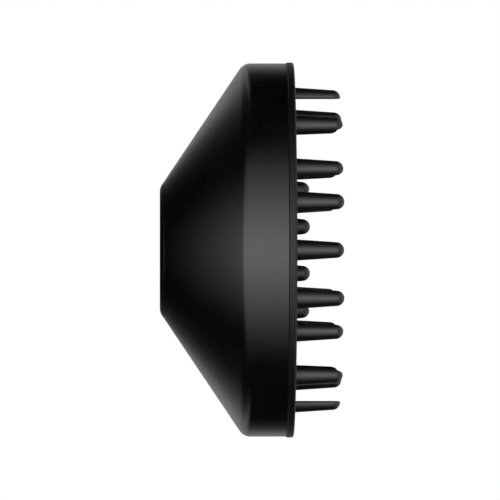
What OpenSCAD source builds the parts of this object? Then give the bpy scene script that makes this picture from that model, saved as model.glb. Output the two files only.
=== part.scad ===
// Hair-dryer diffuser: a magnetic attachment that spreads the dryer's jet through a pronged face.
// Z runs from the inlet to the prongs, and the origin is the centre of the inlet's end face.

/* [Body] */
// Outside diameter over the front bezel
bezel_d = 120; // [100:0.5:150]
// How far the bezel stands proud of the shell's rim band
bezel_proud = 0.3; // [0:0.1:1]
// Angle of the cone's side from the axis
cone_angle = 56.1; // [46:0.1:66]
// Height of the straight rim band, bezel included
band_h = 16; // [11.5:0.1:24]
// Radius of the shoulder between cone and band
shoulder_r = 4; // [3:0.1:6]
// Wall of the outer shell
shell_wall = 2; // [1.6:0.1:2.5]

/* [Bezel] */
// Height of the bezel's visible band
bezel_h = 2.3; // [2:0.1:3.5]
// Radial width of the bezel's front lip
bezel_lip = 4.4; // [3.8:0.1:5]
// Radius of the bezel's front edges
bezel_round = 0.7; // [0.3:0.1:0.9]
// Wall of the skirt that presses into the shell
skirt_wall = 0.8; // [0.6:0.1:1]
// Depth of that skirt below the shell's edge
skirt_h = 1.4; // [0.8:0.1:1.6]

/* [Inlet] */
// Bore that the dryer's outlet enters
socket_d = 30; // [25:0.1:36]
// Depth of that bore
socket_depth = 7; // [5:0.1:10]
// Width of the end face around the bore, out to the corner before it is rounded
end_w = 4.9; // [4.2:0.1:6]
// Radius of the rounding between the end face and the cone
end_round = 4; // [2:0.5:4]
// Width of the step from the bore in to the air passage
step_w = 4.5; // [4:0.1:6]
// Wall of the collar's tube
collar_wall = 2; // [1.6:0.1:2.2]
// Thickness of the collar's end flange
flange_t = 1.5; // [1.3:0.1:2.5]
// Lead-in chamfer at the bore's mouth
lead_in = 0.4; // [0.2:0.1:0.6]
// Plastic between the bore's floor and the magnets
magnet_cover = 1; // [0.6:0.1:1.5]
// Width of the face seal's groove
seal_w = 1.3; // [0.9:0.1:1.6]
// Depth of the face seal's groove
seal_depth = 0.7; // [0.5:0.1:0.9]

/* [Magnets] */
// Number of disc magnets
magnet_count = 8; // [4:4:12]
// Magnet diameter
magnet_d = 4; // [3:0.1:4.8]
// Magnet height
magnet_h = 2; // [1.5:0.1:4]
// Thickness of the steel ring behind the magnets
pole_t = 0.8; // [0.5:0.1:1.2]

/* [Inner bowl] */
// Air gap between shell and inner bowl
heat_gap = 4; // [3:0.1:5]
// Wall of the inner bowl
bowl_wall = 1.4; // [1.2:0.1:1.8]
// Width of the ledge in the shell that carries the bowl's rim
ledge_w = 2.2; // [1.5:0.1:2.6]
// Height of that ledge at its edge
ledge_h = 1.2; // [1:0.1:2]

/* [Face plate] */
// Thickness of the face plate
plate_t = 2.4; // [2:0.1:3.5]
// Depth of the plate's outer land below the bezel's face
plate_recess = 1.5; // [1.2:0.1:2]
// Distance from the bezel's outside to the top of the dish
land_w = 21; // [19:0.1:24]
// Width of the dish's sloping side
slope_w = 9; // [7:0.1:11]
// Depth of the dish at the middle of the plate
dish_depth = 4.5; // [2:0.1:6]
// Width of every air slot
slot_w = 2.8; // [2:0.1:3]

/* [Mesh and gasket] */
// Thickness of the formed mesh
mesh_t = 0.4; // [0.3:0.1:0.8]
// Thickness of the mesh's edge frame
frame_t = 0.8; // [0.6:0.1:1.2]
// Width of the mesh's edge frame
frame_w = 4; // [2.5:0.1:4]
// Thickness of the gasket under the frame
gasket_t = 1; // [0.8:0.1:1.5]

/* [Spreader] */
// Radius of the spreader's curved flank
flank_r = 12; // [9:0.1:14]
// Wall of the spreader
spreader_wall = 1.6; // [1.2:0.1:2]
// Radius of the spreader's hub and of the plate's boss
hub_r = 3.6; // [3.2:0.1:4.5]
// Height of the boss under the plate
boss_h = 2.4; // [1.5:0.1:4]

/* [Prongs] */
// Prongs in each of the three rings
prongs_per_ring = 10; // [6:1:10]
// Distance from the bezel's outside to the outer ring of long prongs
outer_ring_in = 11.3; // [10:0.1:13]
// Distance from there to the inner ring of long prongs
ring_step = 5.3; // [4:0.1:6.5]
// Distance from the dish's foot to the ring of short prongs
short_ring_in = 6.3; // [5:0.1:8]
// Reach of the long prongs beyond the bezel's face
long_reach = 15; // [8:0.5:30]
// Reach of the short prongs beyond the bezel's face
short_reach = 4.8; // [3:0.1:12]
// Prong radius at the plate
prong_base_r = 3.4; // [2.8:0.1:4.1]
// Prong radius at the rounded tip
prong_tip_r = 2.5; // [1.8:0.1:2.7]
// Distance of the prong's flat from its centre, towards the diffuser's axis
flat_offset = 0.35; // [0:0.05:1]
// Height and width of the flare at a prong's foot
foot_flare = 0.5; // [0.2:0.1:0.8]
// Radius of the D-shaped peg under a prong
peg_r = 2; // [1.5:0.1:2.5]

/* [Fits] */
// Gap between pieces that slip together
slip = 0.2; // [0.1:0.05:0.3]
// Gap around pegs, magnets and screws
snug = 0.05; // [0.02:0.01:0.1]

/* [Hidden] */
$fn = 96;
over = 1; // how far a cutter runs past the solid that it cuts
bond = 0.5; // how far the solids of one piece run into each other

// Body
bezel_r = bezel_d / 2;
band_r = bezel_r - bezel_proud;
socket_r = socket_d / 2;
inlet_r = socket_r + end_w;
cone_h = (band_r - inlet_r) / tan(cone_angle);
face_z = cone_h + band_h;
shell_top = face_z - bezel_h;
mouth_r = band_r - shell_wall;
shoulder = [band_r - shoulder_r, cone_h + shoulder_r * tan(cone_angle / 2)];

// Stack under the bezel, from the face inwards
land_z = face_z - plate_recess;
plate_under = land_z - plate_t;
mesh_under = plate_under - mesh_t;
frame_under = mesh_under - frame_t;
ledge_top = frame_under - gasket_t - bowl_wall;
stack_r = mouth_r - skirt_wall - slip;

// Inlet
throat_r = socket_r - step_w;
collar_r = socket_r + collar_wall;
pocket_z = socket_depth + magnet_cover;
collar_top = pocket_z + magnet_h + slip;
magnet_ring_r = (throat_r + collar_r) / 2;
end_cut = end_round * tan((90 - cone_angle) / 2); // how far the rounding reaches from the corner
flat_r = inlet_r - end_cut; // outer radius of the end face's flat
seal_r = (socket_r + lead_in + flat_r) / 2;
seal_back = 0.1; // depth of the seal's face inside the end face
sill_z = flange_t + shell_wall / 2; // top of the shell's sill round the collar
wedge_gap = 0.1; // gap between the inlet gasket and the shell
wedge_h = 2;

// Inner bowl
bowl_z = collar_top + pole_t;
bowl_gap = shell_wall + heat_gap;
bowl_inner = bowl_gap + bowl_wall;
bowl_band_r = mouth_r - heat_gap;

// Face plate
floor_z = land_z - dish_depth;
dish_top_r = bezel_r - land_w;
dish_floor_r = dish_top_r - slope_w;
peg_floor = 0.5; // plate left under a peg's hole
peg_h = plate_t - peg_floor;

// Air slots: inner and outer radius of each kind
slot_margin = 1.6; // plate left between a slot's end and the edge beside it
land_slot = [dish_top_r + slot_margin, bezel_r - bezel_lip - slot_margin];
side_slot = [dish_floor_r - 1, dish_top_r - slot_margin];
floor_slot = [hub_r + 2 * slot_margin, dish_floor_r - 2.5 * slot_margin];

// Spreader
boss_z = floor_z - plate_t - boss_h;
spreader_lip = boss_z - 2; // height of the trumpet's lip
nose_z = spreader_lip - flank_r - spreader_wall;
flank_centre = [hub_r + flank_r, nose_z];
seat_z = boss_z - 4; // seat of the screw's head in the hub

// Screws: a pan head on a plain shank of the thread's core diameter
screw_r = 0.95;
screw_head_r = 1.9;
screw_head_h = 1.3;
collar_screw_count = 4;
collar_floor = 0.8; // plastic left between the screw holes and the bore's floor
collar_hole_z = socket_depth + collar_floor;
spreader_hole = boss_h + plate_t - 1.4; // depth of the hole in the boss

// Identification tag
tag_r = 2.5;
tag_t = 0.9;
tag_centre_r = (collar_r + inlet_r + bowl_z * tan(cone_angle) - bowl_gap / cos(cone_angle)) / 2;

// Steepest draft of a prong's side, which keeps the foot of a short one from growing too wide
max_draft = 8.5;

// Rings of prongs: the inner long ring has a prong on -Y, and the others stand half a step round
step_angle = 360 / prongs_per_ring;
inner_start = -90;
outer_start = inner_start + step_angle / 2;
outer_ring_r = bezel_r - outer_ring_in;
inner_ring_r = outer_ring_r - ring_step;
short_ring_r = dish_floor_r - short_ring_in;

// Radius of the cone at height z, moved inwards at right angles to its side by inset
function cone_r(z, inset) = inlet_r + z * tan(cone_angle) - inset / cos(cone_angle);

// Height at which that cone reaches radius r
function cone_z(r, inset) = (r - cone_r(0, inset)) / tan(cone_angle);

function numbered(name, i) = str(name, i < 10 ? "_0" : "_", i);

// Filled section of the shell's form: cone, rounded shoulder and band, moved inwards by inset
module shell_section(inset, low, high) {
    arc_r = shoulder_r - inset;
    polygon([
        [0, low],
        [cone_r(low, inset), low],
        shoulder + arc_r * [cos(cone_angle), -sin(cone_angle)],
        shoulder + [arc_r, 0],
        [band_r - inset, high],
        [0, high]
    ]);
    translate(shoulder) circle(r = arc_r);
}

// Ring of rectangular section
module ring(inner, outer, low, high) {
    difference() {
        translate([0, 0, low]) cylinder(r = outer, h = high - low);
        translate([0, 0, low - over]) cylinder(r = inner, h = high - low + 2 * over);
    }
}

// Children repeated around the axis
module around(count, start = 0) {
    for (i = [0:count - 1])
        rotate([0, 0, start + i * 360 / count])
            children();
}

// Section of the ledge under the inner bowl's rim, with a sloping underside
module ledge_section() {
    polygon([
        [mouth_r - ledge_w, ledge_top],
        [mouth_r + over, ledge_top],
        [mouth_r + over, ledge_top - ledge_h - ledge_w],
        [mouth_r, ledge_top - ledge_h - ledge_w],
        [mouth_r - ledge_w, ledge_top - ledge_h]
    ]);
}

module outer_shell() {
    color("#1b1b1c")
        rotate_extrude()
            difference() {
                shell_section(0, flange_t, shell_top);
                difference() {
                    shell_section(shell_wall, sill_z, shell_top + over);
                    ledge_section();
                }
                square([collar_r + slip, sill_z + over]);
            }
}

module inner_bowl() {
    color("#262627")
        difference() {
            rotate_extrude()
                polygon([
                    [throat_r, bowl_z],
                    [cone_r(bowl_z, bowl_gap), bowl_z],
                    [bowl_band_r, cone_z(bowl_band_r, bowl_gap)],
                    [bowl_band_r, ledge_top],
                    [mouth_r - slip, ledge_top],
                    [mouth_r - slip, ledge_top + bowl_wall],
                    [bowl_band_r - bowl_wall, ledge_top + bowl_wall],
                    [bowl_band_r - bowl_wall, cone_z(bowl_band_r - bowl_wall, bowl_inner)],
                    [cone_r(bowl_z + bowl_wall, bowl_inner), bowl_z + bowl_wall],
                    [throat_r, bowl_z + bowl_wall]
                ]);
            collar_screw_holes(bowl_z - over, bowl_z + bowl_wall + over, screw_r + slip);
        }
}

module front_bezel() {
    lip_r = bezel_r - bezel_lip;
    skirt_r = mouth_r - skirt_wall;
    color("#131314")
        rotate_extrude() {
            translate([lip_r, land_z]) square([bezel_lip, plate_recess - bezel_round]);
            translate([lip_r + bezel_round, land_z]) square([bezel_lip - 2 * bezel_round, plate_recess]);
            for (r = [lip_r + bezel_round, bezel_r - bezel_round])
                translate([r, face_z - bezel_round]) circle(r = bezel_round);
            translate([skirt_r, shell_top]) square([bezel_r - skirt_r, land_z - shell_top]);
            translate([skirt_r, shell_top - skirt_h]) square([skirt_wall, skirt_h + bond / 2]);
        }
}

// Section of the dished plate's top surface, moved down by drop and thick enough to be h high
module dish_section(drop, h, outer) {
    polygon([
        [0, floor_z - drop - h],
        [dish_floor_r, floor_z - drop - h],
        [dish_top_r, land_z - drop - h],
        [outer, land_z - drop - h],
        [outer, land_z - drop],
        [dish_top_r, land_z - drop],
        [dish_floor_r, floor_z - drop],
        [0, floor_z - drop]
    ]);
}

// Round-ended radial slot between the two radii of span
module radial_slot(span) {
    translate([0, 0, boss_z])
        linear_extrude(face_z - boss_z) {
            translate([span[0] + slot_w / 2, -slot_w / 2]) square([span[1] - span[0] - slot_w, slot_w]);
            for (r = [span[0] + slot_w / 2, span[1] - slot_w / 2])
                translate([r, 0]) circle(r = slot_w / 2);
        }
}

module face_plate() {
    color("#1a1a1b")
        difference() {
            union() {
                rotate_extrude() dish_section(0, plate_t, stack_r);
                translate([0, 0, boss_z]) cylinder(r = hub_r, h = boss_h + bond);
            }
            around(2 * prongs_per_ring, inner_start + step_angle / 4) radial_slot(land_slot);
            around(2 * prongs_per_ring, inner_start) radial_slot(side_slot);
            around(prongs_per_ring, inner_start) radial_slot(floor_slot);
            around(prongs_per_ring, outer_start) translate([outer_ring_r, 0, land_z]) peg_hole();
            around(prongs_per_ring, inner_start) translate([inner_ring_r, 0, land_z]) peg_hole();
            around(prongs_per_ring, outer_start) translate([short_ring_r, 0, floor_z]) peg_hole();
            translate([0, 0, boss_z - over]) cylinder(r = screw_r + snug, h = spreader_hole + over);
        }
}

module mesh_screen() {
    color("#8c8f92")
        difference() {
            rotate_extrude() dish_section(plate_t, mesh_t, stack_r - slip);
            translate([0, 0, boss_z]) cylinder(r = hub_r + slip, h = face_z - boss_z);
        }
}

module mesh_frame() {
    color("#2b2b2d") ring(stack_r - slip - frame_w, stack_r - slip, frame_under, mesh_under);
}

module rim_gasket() {
    color("#3a3a3c") ring(stack_r - slip - frame_w, stack_r - slip, ledge_top + bowl_wall, frame_under);
}

module flow_spreader() {
    color("#232324")
        difference() {
            union() {
                translate([0, 0, nose_z]) cylinder(r = hub_r, h = boss_z - nose_z);
                rotate_extrude()
                    intersection() {
                        translate([hub_r - spreader_wall, nose_z])
                            square(flank_r + spreader_wall);
                        difference() {
                            translate(flank_centre) circle(r = flank_r + spreader_wall);
                            translate(flank_centre) circle(r = flank_r);
                        }
                    }
            }
            translate([0, 0, nose_z - over])
                cylinder(r = screw_r + slip, h = boss_z - nose_z + 2 * over);
            translate([0, 0, nose_z - over])
                cylinder(r = screw_head_r + slip, h = seat_z - nose_z + over);
        }
}

// Pan-head screw along Z: its head's seat at the origin, its shank of the length given above it
module screw(shank) {
    color("#9a9da0") {
        translate([0, 0, -screw_head_h]) cylinder(r = screw_head_r, h = screw_head_h);
        translate([0, 0, -bond]) cylinder(r = screw_r, h = shank + bond);
    }
}

module spreader_screw() {
    translate([0, 0, seat_z]) screw(boss_z - seat_z + spreader_hole - slip);
}

// Half section of the collar: end flange with a round edge, tube, and step at the bore's floor
module collar_section() {
    polygon([
        [socket_r + lead_in, 0],
        [flat_r, 0],
        [inlet_r + end_cut * sin(cone_angle), end_cut * cos(cone_angle)],
        [cone_r(flange_t, 0), flange_t],
        [collar_r, flange_t],
        [collar_r, collar_top],
        [throat_r, collar_top],
        [throat_r, socket_depth],
        [socket_r, socket_depth],
        [socket_r, lead_in]
    ]);
    intersection() {
        translate([flat_r, end_round]) circle(r = end_round);
        translate([flat_r, 0]) square([end_round, end_cut * cos(cone_angle)]);
    }
}

module inlet_collar() {
    color("#0f0f10")
        difference() {
            rotate_extrude() collar_section();
            ring(seal_r - seal_w / 2, seal_r + seal_w / 2, -over, seal_depth);
            around(magnet_count)
                translate([magnet_ring_r, 0, pocket_z])
                    cylinder(r = magnet_d / 2 + snug, h = magnet_h + slip + over);
            collar_screw_holes(collar_hole_z, collar_top + over, screw_r + snug);
        }
}

module inlet_seal() {
    color("#2e2e30")
        ring(seal_r - seal_w / 2 + snug, seal_r + seal_w / 2 - snug, seal_back, seal_depth);
}

module inlet_gasket() {
    high = sill_z + wedge_h;
    color("#3a3a3c")
        rotate_extrude()
            polygon([
                [collar_r + snug, sill_z],
                [cone_r(sill_z, shell_wall + wedge_gap), sill_z],
                [cone_r(high, shell_wall + wedge_gap), high],
                [collar_r + snug, high]
            ]);
}

module pole_ring() {
    color("#8c8f92")
        difference() {
            ring(throat_r + slip, collar_r - slip, collar_top, bowl_z);
            collar_screw_holes(collar_top - over, bowl_z + over, screw_r + slip);
        }
}

// Children at the place of each collar screw, midway between two magnets
module at_collar_screws() {
    around(collar_screw_count, 180 / magnet_count)
        translate([magnet_ring_r, 0, 0])
            children();
}

module collar_screw_holes(low, high, r) {
    at_collar_screws()
        translate([0, 0, low]) cylinder(r = r, h = high - low);
}

module collar_screws() {
    top = bowl_z + bowl_wall;
    at_collar_screws()
        translate([0, 0, top])
            rotate([180, 0, 0])
                screw(top - collar_hole_z - slip);
}

module id_tag() {
    color("#5a4a2a")
        translate([0, tag_centre_r, bowl_z - tag_t]) cylinder(r = tag_r, h = tag_t);
}

module magnet(i) {
    color("#b8bbbe")
        rotate([0, 0, (i - 1) * 360 / magnet_count])
            translate([magnet_ring_r, 0, pocket_z]) cylinder(r = magnet_d / 2, h = magnet_h);
}

// Cuts away what its children have beyond the plane x = flat
module d_cut(flat) {
    reach = 2 * prong_base_r + over;
    difference() {
        children();
        translate([flat - reach, -reach, -long_reach]) cube([reach, 2 * reach, 4 * long_reach]);
    }
}

// D-shaped peg that hangs below the plane z = 0
module peg() {
    d_cut(-flat_offset)
        translate([0, 0, -peg_h]) cylinder(r = peg_r, h = peg_h + bond);
}

// Hole that takes the peg with a snug gap all round
module peg_hole() {
    d_cut(-flat_offset - snug)
        translate([0, 0, -peg_h - snug]) cylinder(r = peg_r + snug, h = peg_h + snug + over);
}

// Half section of a prong before its flat is cut: flared foot, tapered side and round tip
module prong_section(h) {
    round_z = h - prong_tip_r;
    base_r = min(prong_base_r, prong_tip_r + (round_z - foot_flare) * tan(max_draft));
    taper = atan((base_r - prong_tip_r) / (round_z - foot_flare));
    tip_edge = prong_tip_r * [cos(taper), sin(taper)];
    intersection() {
        square([base_r + foot_flare, h]);
        union() {
            polygon([
                [0, 0],
                [base_r + foot_flare, 0],
                [base_r, foot_flare],
                [tip_edge.x, round_z + tip_edge.y],
                [0, round_z + tip_edge.y]
            ]);
            translate([0, round_z]) circle(r = prong_tip_r);
        }
    }
}

// D-section prong of height h, with its flat on the side of -X and a D-shaped peg below
module prong(h) {
    color("#1e1e1f") {
        d_cut(-flat_offset) rotate_extrude() prong_section(h);
        peg();
    }
}

// Prong number i of a ring of radius r, standing on base_z with its tip beyond the face by reach
module placed_prong(i, start, r, base_z, reach) {
    rotate([0, 0, start + (i - 1) * step_angle])
        translate([r, 0, base_z])
            prong(face_z + reach - base_z);
}

module outer_prong(i) {
    placed_prong(i, outer_start, outer_ring_r, land_z, long_reach);
}

module inner_prong(i) {
    placed_prong(i, inner_start, inner_ring_r, land_z, long_reach);
}

module short_prong(i) {
    placed_prong(i, outer_start, short_ring_r, floor_z, short_reach);
}

outer_shell();
inner_bowl();
front_bezel();
face_plate();
mesh_screen();
mesh_frame();
rim_gasket();
flow_spreader();
spreader_screw();
inlet_collar();
inlet_seal();
inlet_gasket();
pole_ring();
collar_screws();
id_tag();
for (i = [1:magnet_count])
    magnet(i);
for (i = [1:prongs_per_ring])
    outer_prong(i);
for (i = [1:prongs_per_ring])
    inner_prong(i);
for (i = [1:prongs_per_ring])
    short_prong(i);
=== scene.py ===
"""Looks of a pronged hair-dryer diffuser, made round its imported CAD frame.

Every piece takes its place from the frame. Sizes are in millimetres, and a mesh is turned into metres as it
is made. Z runs from the inlet to the prongs, and the origin is the centre of the inlet's end face.
"""

import logging
import math
from collections.abc import Callable
from dataclasses import dataclass, field
from enum import Enum
from functools import partial
from typing import Any, NamedTuple

import bmesh
import bpy
from mathutils import Matrix, Vector
from mathutils.geometry import delaunay_2d_cdt


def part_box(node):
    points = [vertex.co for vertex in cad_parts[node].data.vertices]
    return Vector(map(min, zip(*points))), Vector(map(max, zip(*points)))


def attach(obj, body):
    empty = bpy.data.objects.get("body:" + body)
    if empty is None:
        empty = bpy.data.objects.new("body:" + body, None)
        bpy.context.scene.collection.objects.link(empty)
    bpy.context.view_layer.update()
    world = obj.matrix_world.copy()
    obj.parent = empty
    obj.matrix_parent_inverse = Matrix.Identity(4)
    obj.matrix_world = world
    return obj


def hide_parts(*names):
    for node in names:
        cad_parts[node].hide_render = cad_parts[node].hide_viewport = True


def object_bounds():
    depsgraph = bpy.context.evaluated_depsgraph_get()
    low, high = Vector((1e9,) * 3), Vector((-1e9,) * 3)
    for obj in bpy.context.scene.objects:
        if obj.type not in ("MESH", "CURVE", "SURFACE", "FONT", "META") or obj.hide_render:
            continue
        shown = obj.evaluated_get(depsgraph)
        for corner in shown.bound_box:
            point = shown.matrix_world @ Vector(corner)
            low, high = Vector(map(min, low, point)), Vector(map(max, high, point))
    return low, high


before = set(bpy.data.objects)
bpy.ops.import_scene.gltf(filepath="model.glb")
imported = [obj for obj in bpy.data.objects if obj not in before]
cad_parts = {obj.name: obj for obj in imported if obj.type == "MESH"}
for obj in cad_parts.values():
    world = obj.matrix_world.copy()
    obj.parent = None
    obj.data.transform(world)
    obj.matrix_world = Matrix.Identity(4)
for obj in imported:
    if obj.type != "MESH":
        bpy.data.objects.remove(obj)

CAD_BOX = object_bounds()
BODY = "root"
MM = 0.001
TURN = math.tau
QUARTER = TURN / 4
# A length or an angle below this counts as nothing
NOTHING = 1e-6
log = logging.getLogger("diffuser")

# Segments round a turned piece: the outside pieces, and those inside
FINE_TURN = 288
PLAIN_TURN = 144
# Steps of a rounded edge, in degrees, and how far from it the next loop lies
ROUND_STEP = 11.0
GUARD = 0.22
# Faces that meet at more than this keep a crisp edge, in degrees
CRISP_ANGLE = 38.0
# Lobes of a screw's drive
LOBES = 6
# Name of the mesh attribute that says how much an edge is rubbed
WORN = "worn"


class Slot(Enum):
    """Material slots of the record."""

    SHELL = "shell_plastic"
    BEZEL = "bezel_plastic"
    FACE = "face_plastic"
    PRONG = "prong_plastic"
    COLLAR = "collar_plastic"
    DUCT = "duct_plastic"
    FRAME = "frame_plastic"
    SILICONE = "silicone"
    MESH = "mesh_steel"
    POLE = "pole_steel"
    MAGNET = "magnet"
    SCREW = "screw_steel"
    TAG = "tag_resin"


# ---------------------------------------------------------------- places and nodes


@dataclass(frozen=True)
class Span:
    """Where a CAD node lies: its lowest and highest Z, its reach, half its width and its middle."""

    low: float
    high: float
    reach: float
    half: float
    middle: Vector

    @classmethod
    def of(cls, node: str) -> "Span":
        """Reads a node's span from the frame.

        Args:
            node: Name of the CAD node.

        Returns:
            The node's span in millimetres.
        """
        low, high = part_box(node)
        reach = max(high.x, high.y) / MM
        return cls(low.z / MM, high.z / MM, reach, (high.x - low.x) / MM / 2, (low + high) / (2 * MM))


def add_node(
    tree: bpy.types.NodeTree, kind: str, inputs: dict[Any, Any] | None = None, **settings: Any
) -> Any:
    """Adds a node, sets its options, and fills or links its inputs.

    Args:
        tree: The shader or geometry tree.
        kind: Blender's name for the node; a shader node's goes without its ShaderNode.
        inputs: For each socket's name or number, a value, an output, or a node that gives its first output.
        **settings: The node's own options.

    Returns:
        The new node.
    """
    made = tree.nodes.new(kind if "Node" in kind else f"ShaderNode{kind}")
    for name, value in settings.items():
        setattr(made, name, value)
    for key, value in (inputs or {}).items():
        if isinstance(value, bpy.types.Node):
            value = next(output for output in value.outputs if output.enabled)
        if isinstance(value, bpy.types.NodeSocket):
            tree.links.new(value, made.inputs[key])
        else:
            made.inputs[key].default_value = value
    return made


def emptied(owner: bpy.types.Material | bpy.types.World) -> bpy.types.NodeTree:
    """Gives a new material or world its node tree with nothing in it."""
    owner.use_nodes = True
    owner.node_tree.nodes.clear()
    return owner.node_tree


def linear(hex_colour: str) -> tuple[float, float, float, float]:
    """Turns an sRGB hex colour into linear values.

    Args:
        hex_colour: Six hex digits after a #.

    Returns:
        Red, green, blue and a full alpha.
    """
    parts = [int(hex_colour[i : i + 2], 16) / 255 for i in (1, 3, 5)]
    red, green, blue = (c / 12.92 if c <= 0.04045 else ((c + 0.055) / 1.055) ** 2.4 for c in parts)
    return red, green, blue, 1.0


# ---------------------------------------------------------------- finishes


@dataclass(frozen=True)
class Finish:
    """A finish's name, its colour, and the second colour that it drifts to over the surface."""

    name: str
    colour: str
    drift_colour: str

    def surface(self, add: Callable[..., Any], place: bpy.types.NodeSocket) -> dict[str, Any]:
        """Adds the nodes of the finish's pattern.

        Args:
            add: Adds a node to the material's tree.
            place: The output that gives the place on the piece.

        Returns:
            What each socket of the shader is given.
        """
        raise NotImplementedError

    def material(self) -> bpy.types.Material:
        """Builds the material.

        Returns:
            The finished material.
        """
        made = bpy.data.materials.new(self.name)
        add = partial(add_node, emptied(made))
        place = add("TexCoord").outputs["Object"]
        shader = add("BsdfPrincipled", self.surface(add, place))
        add("OutputMaterial", {"Surface": shader})
        return made


@dataclass(frozen=True)
class MouldedPlastic(Finish):
    """Injection-moulded plastic from a spark-eroded mould: an even satin grain, a slow drift in gloss and
    shade, and a little more brightness where an edge is rubbed.

    grain, cloud and rub are sizes in millimetres: of the mould's grain, of the drift where the melt cooled,
    and of the patches that handling polishes. shine is the strength of the gloss, polish how much smoother
    a rubbed edge is, and fibres how much of the grain is the print of glass fibres.
    """

    worn_colour: str
    roughness: float
    ior: float = 1.54
    shine: float = 0.5
    grain: float = 0.55
    grain_depth: float = 0.006
    cloud: float = 17.0
    cloud_gloss: float = 0.03
    rub: float = 2.2
    polish: float = 0.10
    fibres: float = 0.0
    fibre_w: float = 0.35
    fibre_squeeze: float = 0.22

    def surface(self, add: Callable[..., Any], place: bpy.types.NodeSocket) -> dict[str, Any]:
        """Adds the grain, the drift, the rubbed edges and the fibres.

        Args:
            add: Adds a node to the material's tree.
            place: The output that gives the place on the piece.

        Returns:
            What each socket of the shader is given.
        """
        # The real grain is about 0.06 mm, too fine to show, so it is drawn some ten times as coarse
        size = {"Vector": place, "Scale": 1 / (self.grain * MM)}
        height = add("TexNoise", {**size, "Detail": 3.0, "Roughness": 0.55})
        size = {"Vector": place, "Scale": 1 / (self.cloud * MM)}
        cloud = add("TexNoise", {**size, "Detail": 4.0, "Roughness": 0.6, "Distortion": 0.4})
        size = {"Vector": place, "Scale": 1 / (self.rub * MM)}
        rub = add("TexNoise", {**size, "Detail": 5.0, "Roughness": 0.65})
        drift = add("MapRange", {"Value": cloud, "From Min": 0.32, "From Max": 0.68})
        patch = add("MapRange", {"Value": rub, "From Min": 0.35, "From Max": 0.62, "To Min": 0.35})
        edge = add("Attribute", attribute_name=WORN).outputs["Fac"]
        wear = add("Math", {0: edge, 1: patch}, operation="MULTIPLY", use_clamp=True)
        shades = {0: drift, 6: linear(self.colour), 7: linear(self.drift_colour)}
        shade = add("Mix", shades, data_type="RGBA")
        rubbed = add("Mix", {0: wear, 6: shade, 7: linear(self.worn_colour)}, data_type="RGBA")
        gloss = {"To Min": self.roughness - self.cloud_gloss, "To Max": self.roughness + self.cloud_gloss}
        dulled = add("MapRange", {"Value": cloud, "From Min": 0.3, "From Max": 0.7, **gloss})
        smooth = add("Math", {0: wear, 1: -self.polish, 2: dulled}, operation="MULTIPLY_ADD")
        if self.fibres:
            # Short glass fibres lie along the flow, away from the gate, and print through as fine streaks
            along = add("Mapping", {"Vector": place, "Scale": (1.0, 1.0, self.fibre_squeeze)})
            fibre = add("TexNoise", {"Vector": along, "Scale": 1 / (self.fibre_w * MM), "Detail": 2.0})
            height = add("Mix", {0: self.fibres, 2: height, 3: fibre})
        bump = add("Bump", {"Height": height, "Distance": self.grain_depth * MM, "Strength": 1.0})
        return {
            "Base Color": rubbed,
            "Roughness": smooth,
            "IOR": self.ior,
            "Specular IOR Level": self.shine,
            "Normal": bump,
        }


@dataclass(frozen=True)
class SiliconeRubber(Finish):
    """Compression-moulded silicone: dead matt, with a pale bloom of dust.

    bloom and skin are sizes in millimetres, of the dust's patches and of the skin's grain.
    """

    roughness: float = 0.62
    bloom: float = 3.0
    skin: float = 0.4
    skin_depth: float = 0.006

    def surface(self, add: Callable[..., Any], place: bpy.types.NodeSocket) -> dict[str, Any]:
        """Adds the dust and the skin's grain.

        Args:
            add: Adds a node to the material's tree.
            place: The output that gives the place on the piece.

        Returns:
            What each socket of the shader is given.
        """
        size = {"Vector": place, "Scale": 1 / (self.bloom * MM)}
        dust = add("TexNoise", {**size, "Detail": 6.0, "Roughness": 0.7})
        amount = add("MapRange", {"Value": dust, "From Min": 0.45, "From Max": 0.75, "To Max": 0.6})
        shades = {0: amount, 6: linear(self.colour), 7: linear(self.drift_colour)}
        shade = add("Mix", shades, data_type="RGBA")
        skin = add("TexNoise", {"Vector": place, "Scale": 1 / (self.skin * MM), "Detail": 2.0})
        bump = add("Bump", {"Height": skin, "Distance": self.skin_depth * MM, "Strength": 1.0})
        gloss = {"To Min": self.roughness - 0.08, "To Max": self.roughness + 0.12}
        dull = add("MapRange", {"Value": dust, **gloss})
        return {
            "Base Color": shade,
            "Roughness": dull,
            "IOR": 1.41,
            "Sheen Weight": 0.15,
            "Sheen Roughness": 0.5,
            "Normal": bump,
        }


class MetalMake(Enum):
    """How a metal surface was made, as the squeeze of its marks along X, Y and Z."""

    DRAWN = (1.0, 1.0, 1.0)
    TURNED = (1.0, 1.0, 6.0)
    PLATED = (1.2, 1.2, 1.2)


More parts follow.
